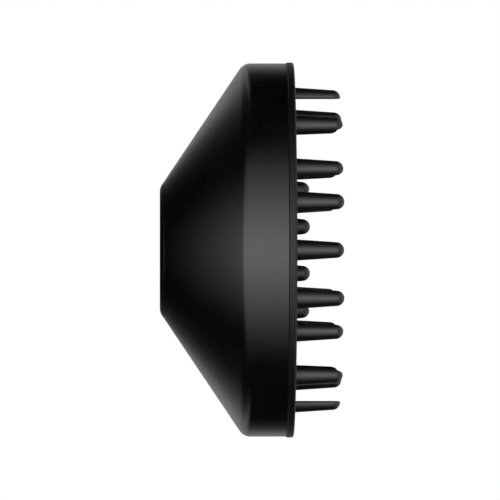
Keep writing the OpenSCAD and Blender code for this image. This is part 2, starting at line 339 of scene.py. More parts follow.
@dataclass(frozen=True)
class MetalFinish(Finish):
    """Bare or plated metal: a clear reflection broken by fine marks, with a tint that drifts over it.

    mark is the spacing of the marks and drift that of the tint, in millimetres.
    """

    roughness: float
    make: MetalMake
    mark: float = 0.3
    mark_depth: float = 0.003
    drift: float = 4.0

    def surface(self, add: Callable[..., Any], place: bpy.types.NodeSocket) -> dict[str, Any]:
        """Adds the marks and the tint.

        Args:
            add: Adds a node to the material's tree.
            place: The output that gives the place on the piece.

        Returns:
            What each socket of the shader is given.
        """
        along = add("Mapping", {"Vector": place, "Scale": self.make.value})
        size = {"Vector": along, "Scale": 1 / (self.mark * MM)}
        marks = add("TexNoise", {**size, "Detail": 4.0, "Roughness": 0.7})
        drift = add("TexNoise", {"Vector": place, "Scale": 1 / (self.drift * MM), "Detail": 3.0})
        shades = {0: drift, 6: linear(self.colour), 7: linear(self.drift_colour)}
        shade = add("Mix", shades, data_type="RGBA")
        gloss = {"To Min": self.roughness - 0.07, "To Max": self.roughness + 0.09}
        dull = add("MapRange", {"Value": marks, "From Min": 0.3, "From Max": 0.7, **gloss})
        bump = add("Bump", {"Height": marks, "Distance": self.mark_depth * MM, "Strength": 1.0})
        return {"Base Color": shade, "Metallic": 1.0, "Roughness": dull, "Normal": bump}


@dataclass
class Finishes:
    """Every finish on the diffuser, made once."""

    made: dict[Slot, bpy.types.Material] = field(default_factory=dict)

    def build(self) -> None:
        """Makes the materials."""
        drawn, turned_down, plated = MetalMake.DRAWN, MetalMake.TURNED, MetalMake.PLATED
        recipes = {
            # Satin black ABS: nearly no colour of its own, so what shows is the soft gloss of its grain
            Slot.SHELL: MouldedPlastic("satin_black_abs_shell", "#020202", "#040404", "#181819", 0.28),
            # The bezel's mould is etched finer and duller, so it reads as a darker line round the band
            Slot.BEZEL: MouldedPlastic(
                "matt_black_abs_bezel", "#020202", "#040404", "#181819", 0.46, grain=0.45, shine=0.3
            ),
            # The same ABS from duller moulds, and a shade paler
            Slot.FACE: MouldedPlastic("satin_black_abs_face", "#070708", "#0b0b0c", "#202021", 0.42),
            Slot.PRONG: MouldedPlastic(
                "satin_black_abs_prong", "#0b0b0c", "#0f0f10", "#262627", 0.34, grain=0.4
            ),
            # Glass-filled nylon: matt, with the print of short fibres
            Slot.COLLAR: MouldedPlastic(
                "matt_glass_filled_nylon", "#060607", "#0a0a0b", "#1d1d1e", 0.38, grain_depth=0.008,
                fibres=0.5,
            ),
            # Heat-stabilised nylon in dark grey, from a plain blasted mould
            Slot.DUCT: MouldedPlastic(
                "blasted_grey_nylon_duct", "#1d1e20", "#222326", "#38393b", 0.50, grain_depth=0.008
            ),
            # Acetal: a slippery black with a dull, even skin
            Slot.FRAME: MouldedPlastic("natural_black_acetal_frame", "#141415", "#19191a", "#303031", 0.46),
            # Silicone: soft, dead matt, and a little grey with dust
            Slot.SILICONE: SiliconeRubber("compression_moulded_silicone", "#161718", "#38393b"),
            # Drawn stainless wire: bright, with faint lines from the die
            Slot.MESH: MetalFinish("drawn_stainless_wire", "#8f9091", "#a5a5a4", 0.34, drawn, mark=0.2),
            # Turned mild steel: greyer, with the tool's fine rings on its rim
            Slot.POLE: MetalFinish("turned_pole_steel", "#7d7c7a", "#8f8c86", 0.38, turned_down),
            # Bright nickel, slightly warm
            Slot.MAGNET: MetalFinish("nickel_plated_magnet", "#b4ae9f", "#c2bcae", 0.20, plated),
            # Zinc with a blue pass, which shifts a little from blue to straw
            Slot.SCREW: MetalFinish("blue_zinc_plated_steel", "#a3a8ae", "#b7b6ac", 0.32, plated, drift=1.5),
            # Cast epoxy: smooth and greenish black
            Slot.TAG: MouldedPlastic("cast_epoxy_tag", "#101a16", "#15211c", "#33403a", 0.25, grain=0.8),
        }
        for slot, recipe in recipes.items():
            self.made[slot] = recipe.material()
            log.info("finish %s: %s", slot.value, recipe.name)

    def fit(self, piece: bpy.types.Object, slot: Slot, *nodes: str) -> bpy.types.Object:
        """Gives a finished piece its material and its place on the frame.

        Args:
            piece: The piece, already in place.
            slot: The record's slot.
            *nodes: CAD nodes that the piece stands for.

        Returns:
            The piece.
        """
        piece.data.materials.clear()
        piece.data.materials.append(self.made[slot])
        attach(piece, BODY)
        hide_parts(*nodes)
        faces = len(piece.data.polygons)
        log.info("piece %s: %d faces, stands for %d CAD nodes", piece.name, faces, len(nodes))
        return piece


# ---------------------------------------------------------------- meshes


@dataclass(frozen=True)
class Corner:
    """A corner of a turned section: its radius and Z, the rounding of its edge, and how much it is rubbed."""

    r: float
    z: float
    round: float = 0.0
    worn: float = 0.0


class Ring(NamedTuple):
    """A ring of points on a turned piece: its radius and Z, its wear, and how deep its lobes are cut."""

    r: float
    z: float
    worn: float = 0.0
    lobe: float = 0.0


def block(inner: float, outer: float, low: float, high: float, below: float, above: float) -> list[Corner]:
    """Draws the section of a plain ring, or of a disc where its inner radius is 0.

    Args:
        inner: The inner radius.
        outer: The outer radius.
        low: Z of its underside.
        high: Z of its top.
        below: Rounding of its lower edges.
        above: Rounding of its upper edges.

    Returns:
        The section's corners.
    """
    return [
        Corner(inner, low, below if inner else 0.0),
        Corner(outer, low, below),
        Corner(outer, high, above),
        Corner(inner, high, above if inner else 0.0),
    ]


def rounded(corners: list[Corner]) -> list[Ring]:
    """Rounds a closed section's corners.

    Args:
        corners: The section's corners in order.

    Returns:
        The section's rings, with a close one on each side of every rounding.
    """
    rings = []
    spots = [Vector((c.r, c.z)) for c in corners]
    cuts = []
    for i, corner in enumerate(corners):
        back = (spots[i - 1] - spots[i]).normalized()
        ahead = (spots[(i + 1) % len(spots)] - spots[i]).normalized()
        cuts.append(corner.round / math.tan(back.angle(ahead) / 2) if corner.round else 0.0)
    for i, corner in enumerate(corners):
        spot, after = spots[i], (i + 1) % len(spots)
        if not corner.round:
            rings.append(Ring(corner.r, corner.z))
            continue
        back, ahead = spots[i - 1] - spot, spots[after] - spot
        half = back.angle(ahead) / 2
        middle = spot + (back.normalized() + ahead.normalized()).normalized() * corner.round / math.sin(half)
        first = spot + back.normalized() * cuts[i] - middle
        last = spot + ahead.normalized() * cuts[i] - middle
        sweep = math.atan2(first.x * last.y - first.y * last.x, first.dot(last))
        steps = max(3, math.ceil(abs(math.degrees(sweep)) / ROUND_STEP))
        if back.length - cuts[i] - cuts[i - 1] > 3 * GUARD:
            rings.append(Ring(*(spot + back.normalized() * (cuts[i] + GUARD))))
        for k in range(steps + 1):
            spoke = middle + Matrix.Rotation(sweep * k / steps, 2) @ first
            rings.append(Ring(spoke.x, spoke.y, corner.worn * math.sin(math.pi * k / steps)))
        if ahead.length - cuts[i] - cuts[after] > 3 * GUARD:
            rings.append(Ring(*(spot + ahead.normalized() * (cuts[i] + GUARD))))
    return rings


def set_down(name: str, mesh: bpy.types.Mesh) -> bpy.types.Object:
    """Puts a mesh in the scene, shaded smooth with crisp edges where its faces meet sharply.

    Args:
        name: The object's name.
        mesh: The mesh, with its place in its points.

    Returns:
        The object, at the origin.
    """
    mesh.shade_smooth()
    mesh.set_sharp_from_angle(angle=math.radians(CRISP_ANGLE))
    made = bpy.data.objects.new(name, mesh)
    bpy.context.scene.collection.objects.link(made)
    return made


def mesh_piece(
    name: str, points: list[tuple[float, ...]], faces: list[tuple[int, ...]], worn: list[float] | None = None
) -> bpy.types.Object:
    """Makes an object from points in millimetres.

    Args:
        name: The object's name.
        points: X, Y and Z of each point.
        faces: The points of each face.
        worn: How much each point is rubbed, from 0 to 1.

    Returns:
        The object, with its faces outwards.
    """
    mesh = bpy.data.meshes.new(name)
    mesh.from_pydata([tuple(v * MM for v in p) for p in points], [], faces)
    mesh.attributes.new(WORN, "FLOAT", "POINT").data.foreach_set("value", worn or [0.0] * len(points))
    work = bmesh.new()
    work.from_mesh(mesh)
    bmesh.ops.recalc_face_normals(work, faces=work.faces)
    work.to_mesh(mesh)
    work.free()
    return set_down(name, mesh)


def spun(name: str, rings: list[Ring], segments: int, at: Vector | None = None) -> bpy.types.Object:
    """Joins rings of points into a closed piece.

    Args:
        name: The object's name.
        rings: The rings in order round the section; one at radius 0 becomes a pole.
        segments: Segments round the axis.
        at: Where the axis stands, if not on the diffuser's own.

    Returns:
        The piece.
    """
    shift = at or Vector((0.0, 0.0, 0.0))
    points, worn, loops, faces = [], [], [], []
    for r, z, rubbed, lobe in rings:
        count = segments if r > NOTHING else 1
        loops.append([len(points) + j % count for j in range(segments + 1)])
        for j in range(count):
            angle = TURN * j / segments
            reach = r * (1 + lobe * math.cos(LOBES * angle))
            points.append((shift.x + reach * math.cos(angle), shift.y + reach * math.sin(angle), z))
            worn.append(rubbed)
    for here, after in zip(loops, loops[1:] + loops[:1]):
        for j in range(segments):
            face = tuple(dict.fromkeys((here[j], here[j + 1], after[j + 1], after[j])))
            if len(face) > 2:
                faces.append(face)
    return mesh_piece(name, points, faces, worn)


def turned(
    name: str, corners: list[Corner], segments: int = FINE_TURN, at: Vector | None = None
) -> bpy.types.Object:
    """Rounds a closed section and turns it about Z, with a pole for each corner at radius 0."""
    return spun(name, rounded(corners), segments, at)


def strip(here: list[int], after: list[int], whole: bool) -> list[tuple[int, ...]]:
    """Joins two loops of points with quads.

    Args:
        here: The first loop.
        after: The second loop, as long as the first.
        whole: Whether the loops are closed.

    Returns:
        The quads.
    """
    size = len(here)
    pairs = [(i, (i + 1) % size) for i in range(size if whole else size - 1)]
    return [(here[i], here[j], after[j], after[i]) for i, j in pairs]


def joined(name: str, *parts: bpy.types.Object) -> bpy.types.Object:
    """Joins objects at the origin into one.

    Args:
        name: The joined object's name.
        *parts: The objects, which are used up.

    Returns:
        The joined object.
    """
    work = bmesh.new()
    for part in parts:
        work.from_mesh(part.data)
    mesh = bpy.data.meshes.new(name)
    work.to_mesh(mesh)
    work.free()
    for part in parts:
        bpy.data.objects.remove(part)
    return set_down(name, mesh)


def made_plain(piece: bpy.types.Object, name: str) -> bpy.types.Mesh:
    """Takes what a piece's modifiers make of it, and removes them.

    Args:
        piece: The piece.
        name: The new mesh's name.

    Returns:
        The plain mesh.
    """
    graph = bpy.context.evaluated_depsgraph_get()
    evaluated = piece.evaluated_get(graph)
    mesh = bpy.data.meshes.new_from_object(evaluated, preserve_all_data_layers=True, depsgraph=graph)
    mesh.name = name
    piece.modifiers.clear()
    return mesh


def evened(piece: bpy.types.Object) -> bpy.types.Object:
    """Lets a large flat face keep its own shading beside the small faces of a rolled rim.

    Args:
        piece: The piece, which is changed.

    Returns:
        The same piece, with its normals kept in its mesh.
    """
    piece.modifiers.new("even_shading", "WEIGHTED_NORMAL").keep_sharp = True
    piece.data = made_plain(piece, piece.name)
    return piece


# ---------------------------------------------------------------- Geometry Nodes


@dataclass
class GrownTree:
    """A Geometry Nodes tree with named inputs, and the way its result becomes a plain mesh."""

    tree: bpy.types.NodeTree

    @classmethod
    def blank(cls, name: str, inputs: dict[str, str]) -> "GrownTree":
        """Starts a tree.

        Args:
            name: The tree's name.
            inputs: The socket type of each named input.

        Returns:
            The tree, with its group sockets made.
        """
        tree = bpy.data.node_groups.new(name, "GeometryNodeTree")
        for title, kind in {"Geometry": "Geometry", **inputs}.items():
            tree.interface.new_socket(title, in_out="INPUT", socket_type=f"NodeSocket{kind}")
        tree.interface.new_socket("Geometry", in_out="OUTPUT", socket_type="NodeSocketGeometry")
        return cls(tree)

    def grow(self, name: str, seed: bpy.types.Object, values: dict[str, Any]) -> bpy.types.Object:
        """Runs the tree on a seed object and keeps the result as a plain mesh.

        Args:
            name: The finished piece's name.
            seed: The object that the tree starts from, which is used up.
            values: The value of each named input.

        Returns:
            The finished piece, at the origin.
        """
        modifier = seed.modifiers.new(self.tree.name, "NODES")
        modifier.node_group = self.tree
        for item in self.tree.interface.items_tree:
            if item.name in values:
                modifier[item.identifier] = values[item.name]
        mesh = made_plain(seed, name)
        bpy.data.objects.remove(seed)
        return set_down(name, mesh)


def ring_tree() -> GrownTree:
    """Builds the tree that repeats a piece round the axis and closes the seams between neighbours.

    Returns:
        The tree, with inputs Count, First Angle, Seam and Finish.
    """
    inputs = {"Count": "Int", "First Angle": "Float", "Seam": "Float", "Finish": "Material"}
    made = GrownTree.blank("repeat_round_the_axis", inputs)
    add = partial(add_node, made.tree)
    given = add("NodeGroupInput").outputs
    spots = add("GeometryNodeMeshLine", {"Count": given["Count"], "Offset": (0.0, 0.0, 0.0)})
    step = add("Math", {0: TURN, 1: given["Count"]}, operation="DIVIDE")
    index = add("GeometryNodeInputIndex")
    angle = add("Math", {0: index, 1: step, 2: given["First Angle"]}, operation="MULTIPLY_ADD")
    euler = add("CombineXYZ", {"Z": angle})
    turn = add("FunctionNodeEulerToRotation", {0: euler})
    copies = {"Points": spots, "Instance": given["Geometry"], "Rotation": turn}
    placed = add("GeometryNodeInstanceOnPoints", copies)
    real = add("GeometryNodeRealizeInstances", {"Geometry": placed})
    closed = add("GeometryNodeMergeByDistance", {"Geometry": real, "Distance": given["Seam"]})
    dressed = add("GeometryNodeSetMaterial", {"Geometry": closed, "Material": given["Finish"]})
    add("NodeGroupOutput", {"Geometry": dressed})
    return made


def woven_tree() -> GrownTree:
    """Builds the tree that weaves a round screen of wire and presses it to the dish.

    Returns:
        The tree, with inputs Pitch, Wire, Radius, Foot, Brow, Depth, Level and Finish.
    """
    sizes = ("Pitch", "Wire", "Radius", "Foot", "Brow", "Depth", "Level")
    made = GrownTree.blank("woven_screen", {**dict.fromkeys(sizes, "Float"), "Finish": "Material"})
    add = partial(add_node, made.tree)
    given = add("NodeGroupInput").outputs
    # A row of straight wires, one a pitch, each with two beads a pitch to bend at
    left = add("Math", {0: given["Radius"], 1: -1.0}, operation="MULTIPLY")
    pitches = add("Math", {0: given["Radius"], 1: given["Pitch"]}, operation="DIVIDE")
    wires = add("Math", {0: pitches, 1: 2.0, 2: 1.0}, operation="MULTIPLY_ADD")
    beads = add("Math", {0: pitches, 1: 4.0, 2: 1.0}, operation="MULTIPLY_ADD")
    wire_count = add("Math", {0: wires}, operation="ROUND")
    bead_count = add("Math", {0: beads}, operation="ROUND")
    start = add("CombineXYZ", {"Y": left})
    gap = add("CombineXYZ", {"Y": given["Pitch"]})
    row = {"Count": wire_count, "Start Location": start, "Offset": gap}
    spots = add("GeometryNodeMeshLine", row)
    near = add("CombineXYZ", {"X": left})
    far = add("CombineXYZ", {"X": given["Radius"]})
    line = add("GeometryNodeCurvePrimitiveLine", {"Start": near, "End": far})
    strand = add("GeometryNodeResampleCurve", {"Curve": line, "Count": bead_count})
    laid = add("GeometryNodeInstanceOnPoints", {"Points": spots, "Instance": strand})
    strands = add("GeometryNodeRealizeInstances", {"Geometry": laid})
    # The row is cut to a round
    spot = add("GeometryNodeInputPosition")
    part = add("SeparateXYZ", {0: spot}).outputs
    squares = [add("Math", {0: part[k], 1: part[k]}, operation="MULTIPLY") for k in ("X", "Y")]
    squared = add("Math", {0: squares[0], 1: squares[1]}, operation="ADD")
    from_axis = add("Math", {0: squared}, operation="SQRT")
    outside = add("Math", {0: from_axis, 1: given["Radius"]}, operation="GREATER_THAN")
    cut = {"Geometry": strands, "Selection": outside}
    trimmed = add("GeometryNodeDeleteGeometry", cut, domain="POINT")
    # Each wire passes over one neighbour and under the next
    along = add("Math", {0: part["X"], 1: part["Y"]}, operation="ADD")
    crossings = add("Math", {0: along, 1: given["Pitch"]}, operation="DIVIDE")
    phase = add("Math", {0: crossings, 1: math.pi}, operation="MULTIPLY")
    wave = add("Math", {0: phase}, operation="COSINE")
    height = add("Math", {0: given["Wire"], 1: 0.46}, operation="MULTIPLY")
    rise = add("Math", {0: wave, 1: height}, operation="MULTIPLY")
    lift = add("CombineXYZ", {"Z": rise})
    warp = add("GeometryNodeSetPosition", {"Geometry": trimmed, "Offset": lift})
    crossed = {"Geometry": warp, "Rotation": (0.0, 0.0, QUARTER), "Scale": (1.0, 1.0, -1.0)}
    weft = add("GeometryNodeTransform", crossed)
    both = add("GeometryNodeJoinGeometry", {"Geometry": warp})
    made.tree.links.new(weft.outputs["Geometry"], both.inputs["Geometry"])
    # Curves become wire, and the whole is pressed to the dish
    thick = add("Math", {0: given["Wire"], 1: 0.5}, operation="MULTIPLY")
    profile = add("GeometryNodeCurvePrimitiveCircle", {"Resolution": 4, "Radius": thick})
    wire = {"Curve": both, "Profile Curve": profile, "Fill Caps": True}
    solid = add("GeometryNodeCurveToMesh", wire)
    floor = add("Math", {0: given["Level"], 1: given["Depth"]}, operation="SUBTRACT")
    slope = {"From Min": given["Foot"], "From Max": given["Brow"], "To Min": floor, "To Max": given["Level"]}
    dish = add("MapRange", {"Value": from_axis, **slope})
    press = add("CombineXYZ", {"Z": dish})
    pressed = add("GeometryNodeSetPosition", {"Geometry": solid, "Offset": press})
    real = add("GeometryNodeRealizeInstances", {"Geometry": pressed})
    dressed = add("GeometryNodeSetMaterial", {"Geometry": real, "Material": given["Finish"]})
    add("NodeGroupOutput", {"Geometry": dressed})
    return made


# ---------------------------------------------------------------- body


@dataclass
class Body:
    """The outer shell and the bezel that closes its mouth."""

    finishes: Finishes
    cone_angle: float = 56.1
    wall: float = 2.0
    shoulder: float = 4.0
    shell_edge: float = 0.35
    collar_slip: float = 0.2
    ledge_in: float = 2.2
    ledge_h: float = 1.2
    ledge_drop: float = 5.2
    ledge_step: float = 0.25
    lip_w: float = 4.4
    lip_t: float = 1.5
    edge: float = 0.7
    skirt_wall: float = 0.8
    skirt_drop: float = 1.4

    def cone_z(self, r: float, inset: float = 0.0) -> float:
        """Finds the Z at which the cone, moved inwards square to itself, reaches a radius.

        Args:
            r: The radius.
            inset: How far in the surface lies.

        Returns:
            The Z in millimetres.
        """
        slope = math.radians(self.cone_angle)
        start_r = Span.of("inlet_collar").reach
        start_z = Span.of("outer_shell").low
        return start_z + (r - start_r + inset / math.cos(slope)) / math.tan(slope)

    def cone_r(self, z: float, inset: float = 0.0) -> float:
        """Finds the radius of the cone, moved inwards square to itself, at a height.

        Args:
            z: The height.
            inset: How far in the surface lies.

        Returns:
            The radius in millimetres.
        """
        slope = math.radians(self.cone_angle)
        rise = z - Span.of("outer_shell").low
        return Span.of("inlet_collar").reach + rise * math.tan(slope) - inset / math.cos(slope)

    def build_shell(self) -> None:
        """Makes the one-piece cone, shoulder and rim band, with a sill round the collar."""
        at, collar = Span.of("outer_shell"), Span.of("inlet_collar")
        band, mouth = at.reach, at.reach - self.wall
        bore = Span.of("pole_ring").reach + self.collar_slip * 2
        ledge = at.high - self.ledge_drop
        under = ledge - self.ledge_h
        sill = at.low + self.wall / 2
        corners = [
            Corner(bore, at.low),
            Corner(collar.reach, at.low, 0.12, 1.0),
            Corner(band, self.cone_z(band), self.shoulder),
            Corner(band, at.high, self.shell_edge, 1.0),
            Corner(mouth, at.high, 0.15),
            Corner(mouth, ledge),
            Corner(mouth - self.ledge_in, ledge, 0.2),
            Corner(mouth - self.ledge_in, under, 0.3),
            Corner(mouth - self.ledge_step, under - self.ledge_in + self.ledge_step, 0.5),
            Corner(mouth, self.cone_z(mouth, self.wall), 2.0),
            Corner(self.cone_r(sill, self.wall), sill, 0.3),
            Corner(bore, sill),
        ]
        self.finishes.fit(turned("outer_shell_body", corners), Slot.SHELL, "outer_shell")

    def build_bezel(self) -> None:
        """Makes the bezel: a lip with a rolled front edge, and a skirt that presses into the shell."""
        at, shell = Span.of("front_bezel"), Span.of("outer_shell")
        skirt, skirt_low = shell.reach - self.wall, shell.high - self.skirt_drop
        corners = [
            Corner(at.reach - self.lip_w, at.high - self.lip_t, 0.12),
            Corner(skirt - self.skirt_wall, at.high - self.lip_t),
            Corner(skirt - self.skirt_wall, skirt_low, 0.15),
            Corner(skirt, skirt_low, 0.2),
            Corner(skirt, shell.high),
            Corner(at.reach, shell.high, 0.22, 0.6),
            Corner(at.reach, at.high, self.edge, 1.0),
            Corner(at.reach - self.lip_w, at.high, 0.4, 0.8),
        ]
        self.finishes.fit(turned("front_bezel_ring", corners), Slot.BEZEL, "front_bezel")


# ---------------------------------------------------------------- face


@dataclass(frozen=True)
class SlotRow:
    """Radial air slots of one length, by their angles from a sector's middle, in degrees."""

    inner: float
    outer: float
    angles: tuple[float, ...]


@dataclass
class Face:
    """The dished and slotted face plate, with the screen, frame and gasket behind it.

    spacing and bend_spacing are the steps between rows of points on the flats and on the dish's bends.
    lattice_gap is how far those points stay from a slot's outer loop. sliver is twice the least area of a
    triangle, joint is how close two points are one, and slack is how far a triangle's middle may lie inside
    a slot's outer loop.
    """

    finishes: Finishes
    rings: GrownTree
    weave: GrownTree
    sectors: int = 10
    rim: float = 56.7
    plate: float = 2.4
    dish: float = 4.5
    foot: float = 30.0
    brow: float = 39.0
    sweep: float = 2.5
    slot_half: float = 1.4
    slot_rim: float = 0.35
    slot_guard: float = 0.6
    tip_steps: int = 6
    rim_steps: int = 3
    rim_worn: float = 0.7
    spacing: float = 1.25
    bend_spacing: float = 0.28
    lattice_gap: float = 0.38
    sliver: float = 1e-4
    joint: float = 1e-5
    slack: float = 0.03
    seam: float = 0.002
    boss_r: float = 3.6
    boss_sink: float = 0.3
    pitch: float = 1.5
    wire: float = 0.24
    screen_drop: float = 0.2
    ring_w: float = 4.0
    rows: tuple[SlotRow, ...] = (
        SlotRow(6.8, 26.0, (0.0,)),
        SlotRow(29.0, 37.4, (-18.0, 0.0, 18.0)),
        SlotRow(40.6, 54.0, (-9.0, 9.0)),
    )

    def bends(self) -> tuple[float, float, float, float, float]:
        """Works out where the dish bends.

        Returns:
            Its slope, and the radii at which its lower and its upper bend start and end.
        """
        slope = math.atan2(self.dish, self.brow - self.foot)
        cut, reach = self.sweep * math.tan(slope / 2), self.sweep * math.sin(slope)
        low, high = self.foot - cut, self.brow + cut
        return slope, low, low + reach, high - reach, high

    def height(self, r: float) -> float:
        """Gives the plate's top surface at a radius.

        Args:
            r: Distance from the axis.

        Returns:
            How far the surface lies below the outer land, as a Z at or under 0.
        """
        slope, low, low_end, high_start, high = self.bends()
        if r <= low:
            return -self.dish
        if r < low_end:
            return -self.dish + self.sweep - math.sqrt(self.sweep**2 - (r - low) ** 2)
        if r <= high_start:
            return -self.dish + (r - self.foot) * math.tan(slope)
        if r < high:
            return -self.sweep + math.sqrt(self.sweep**2 - (high - r) ** 2)
        return 0.0

    def whole(self, angle: float) -> bool:
        """Tells whether a slot at this angle lies in one sector, and isn't split between two."""
        return abs(angle) < 180.0 / self.sectors - NOTHING

    def outline(self, row: SlotRow, angle: float, grow: float) -> list[Vector]:
        """Draws a slot's outline, grown by an offset, from its outer tip round to the tip again.

        Args:
            row: The slot's row.
            angle: The slot's angle in degrees.
            grow: The offset.

        Returns:
            The outline's points; half of them where the slot is split between two sectors.
        """
        half = self.slot_half + grow
        near, far = row.inner + self.slot_half, row.outer - self.slot_half
        side = math.ceil((far - near) / self.spacing)
        steps = range(self.tip_steps + 1)
        outer = [QUARTER * k / self.tip_steps for k in steps]
        inner = [QUARTER * (1 + k / self.tip_steps) for k in steps]
        points = [(far + half * math.cos(a), half * math.sin(a)) for a in outer]
        points += [(far + (near - far) * k / side, half) for k in range(1, side)]
        points += [(near + half * math.cos(a), half * math.sin(a)) for a in inner]
        points += [(x, -y) for x, y in reversed(points[1:-1])]
        middle = len(points) // 2
        if not self.whole(angle):
            points = points[: middle + 1] if angle < 0 else points[middle:] + points[:1]
        turn = Matrix.Rotation(math.radians(angle), 2)
        return [turn @ Vector(p) for p in points]

    def clear_of_slots(self, spot: Vector, margin: float) -> bool:
        """Tells whether a point is clear of every slot.

        Args:
            spot: The point.
            margin: The least distance from a slot's edge.

        Returns:
            True if it is clear.
        """
        for row in self.rows:
            for angle in row.angles:
                local = Matrix.Rotation(-math.radians(angle), 2) @ spot
                along = min(max(local.x, row.inner + self.slot_half), row.outer - self.slot_half)
                if math.hypot(local.x - along, local.y) < self.slot_half + margin:
                    return False
        return True

    def radii(self) -> list[float]:
        """Lists the radii of the plate's rows of points, closer together where the dish bends.

        Returns:
            The radii, from the axis to the rim.
        """
        marks = [0.0, *self.bends()[1:], self.rim]
        found = [0.0]
        for i, (low, high) in enumerate(zip(marks, marks[1:])):
            count = math.ceil((high - low) / (self.bend_spacing if i in (1, 3) else self.spacing))
            found += [low + (high - low) * k / count for k in range(1, count + 1)]
        return found

    def net(self) -> tuple[list[Vector], list[tuple[int, int]], list[tuple[list[int], SlotRow, float]]]:
        """Draws the sector flat: loops round its slots, and rows of points between them.

        Returns:
            The points, the edges that the triangles keep, and each loop with its row and angle.
        """
        limit = math.radians(180.0 / self.sectors)
        flat, edges, loops = [], [], []
        sides: dict[int, list[tuple[float, int]]] = {-1: [], 1: []}
        for row in self.rows:
            for angle in row.angles:
                points = self.outline(row, angle, self.slot_guard)
                names = list(range(len(flat), len(flat) + len(points)))
                flat += points
                loops.append((names, row, angle))
                edges += zip(names, names[1:] + (names[:1] if self.whole(angle) else []))
                if not self.whole(angle):
                    ends = [(flat[n].length, n) for n in (names[0], names[-1])]
                    sides[int(math.copysign(1, angle))] += ends
        for r in self.radii():
            count = max(1, round(r * 2 * limit / self.spacing)) if r else 0
            previous = None
            for k in range(count + 1):
                angle = limit * (2 * k / count - 1) if count else 0.0
                spot = Vector((r * math.cos(angle), r * math.sin(angle)))
                if not self.clear_of_slots(spot, self.slot_guard + self.lattice_gap):
                    previous = None
                    continue
                here = len(flat)
                flat.append(spot)
                if previous is not None:
                    edges.append((previous, here))
                previous = here
                if k == 0:
                    sides[-1].append((r, here))
                if k == count:
                    sides[1].append((r, here))
        # The sector's straight sides, open where a split slot crosses them
        for line in sides.values():
            line.sort()
            for (_, here), (_, after) in zip(line, line[1:]):
                if self.clear_of_slots((flat[here] + flat[after]) / 2, 0.0):
                    edges.append((here, after))
        return flat, edges, loops

    def sector(self) -> bpy.types.Object:
        """Makes one sector of the plate: its top with rolled slot rims, its underside and the slots' walls.

        Returns:
            The sector, round the X axis.
        """
        flat, edges, loops = self.net()
        spots, _, shapes, origins, _, _ = delaunay_2d_cdt(flat, edges, [], 0, self.joint)
        place = {n: i for i, source in enumerate(origins) for n in source}
        under = len(spots)
        points = [(s.x, s.y, self.height(s.length)) for s in spots]
        points += [(s.x, s.y, self.height(s.length) - self.plate) for s in spots]
        faces: list[tuple[int, ...]] = []
        for shape in shapes:
            one, two, three = (spots[i] for i in shape)
            broad = abs((two - one).cross(three - one)) >= self.sliver
            if broad and self.clear_of_slots((one + two + three) / 3, self.slot_guard - self.slack):
                faces += [tuple(shape), tuple(under + i for i in reversed(shape))]
        worn = [0.0] * len(points)
        for names, row, angle in loops:
            whole = self.whole(angle)
            outer = [place[n] for n in names]
            # Loops down the rolled rim, each with its outline's growth, its drop and its wear, then the foot
            steps = [(k, QUARTER * k / self.rim_steps) for k in range(self.rim_steps, -1, -1)]
            levels = [
                (
                    self.slot_rim * (1 - math.cos(tilt)),
                    self.slot_rim * (1 - math.sin(tilt)),
                    self.rim_worn if 0 < k < self.rim_steps else 0.0,
                )
                for k, tilt in steps
            ]
            rim = outer
            for grow, drop, rubbed in [*levels, (0.0, self.plate, 0.0)]:
                ring = self.outline(row, angle, grow)
                fresh = list(range(len(points), len(points) + len(ring)))
                points += [(p.x, p.y, self.height(p.length) - drop) for p in ring]
                worn += [rubbed] * len(ring)
                faces += strip(rim, fresh, whole)
                rim = fresh
            faces += strip(rim, [under + i for i in outer], whole)
        arc = [i for i, s in enumerate(spots) if s.length > self.rim - self.slack]
        arc.sort(key=lambda i: spots[i].y)
        faces += [(here, after, under + after, under + here) for here, after in zip(arc, arc[1:])]
        level = Span.of("face_plate").high
        return mesh_piece("face_sector", [(x, y, z + level) for x, y, z in points], faces, worn)

    def build_plate(self) -> None:
        """Makes the face plate from its sectors, with the boss for the spreader's screw."""
        at = Span.of("face_plate")
        boss_top = at.high - self.dish - self.plate + self.boss_sink
        boss = turned("boss", block(0.0, self.boss_r, at.low, boss_top, 0.3, 0.0), PLAIN_TURN // 3)
        values = {"Count": self.sectors, "First Angle": -QUARTER, "Seam": self.seam * MM}
        values["Finish"] = self.finishes.made[Slot.FACE]
        plate = self.rings.grow("slots", self.sector(), values)
        self.finishes.fit(evened(joined("face_plate_dish", plate, boss)), Slot.FACE, "face_plate")

    def build_screen(self) -> None:
        """Weaves the guard screen of wire behind the plate."""
        at = Span.of("mesh_screen")
        sizes = {
            "Pitch": self.pitch,
            "Wire": self.wire,
            "Radius": math.floor(at.reach / self.pitch) * self.pitch + 0.001,
            "Foot": self.foot,
            "Brow": self.brow,
            "Depth": self.dish,
            "Level": at.high - self.screen_drop,
        }
        values = {name: size * MM for name, size in sizes.items()}
        values["Finish"] = self.finishes.made[Slot.MESH]
        screen = self.weave.grow("mesh_screen_weave", mesh_piece("seed", [(0.0, 0.0, 0.0)], []), values)
        self.finishes.fit(screen, Slot.MESH, "mesh_screen")

    def build_rings(self) -> None:
        """Makes the screen's frame and the gasket under it."""
        for node, slot, edge in (("mesh_frame", Slot.FRAME, 0.2), ("rim_gasket", Slot.SILICONE, 0.3)):
            at = Span.of(node)
            corners = block(at.reach - self.ring_w, at.reach, at.low, at.high, edge, edge)
            self.finishes.fit(turned(f"{node}_ring", corners, PLAIN_TURN), slot, node)


# ---------------------------------------------------------------- prongs


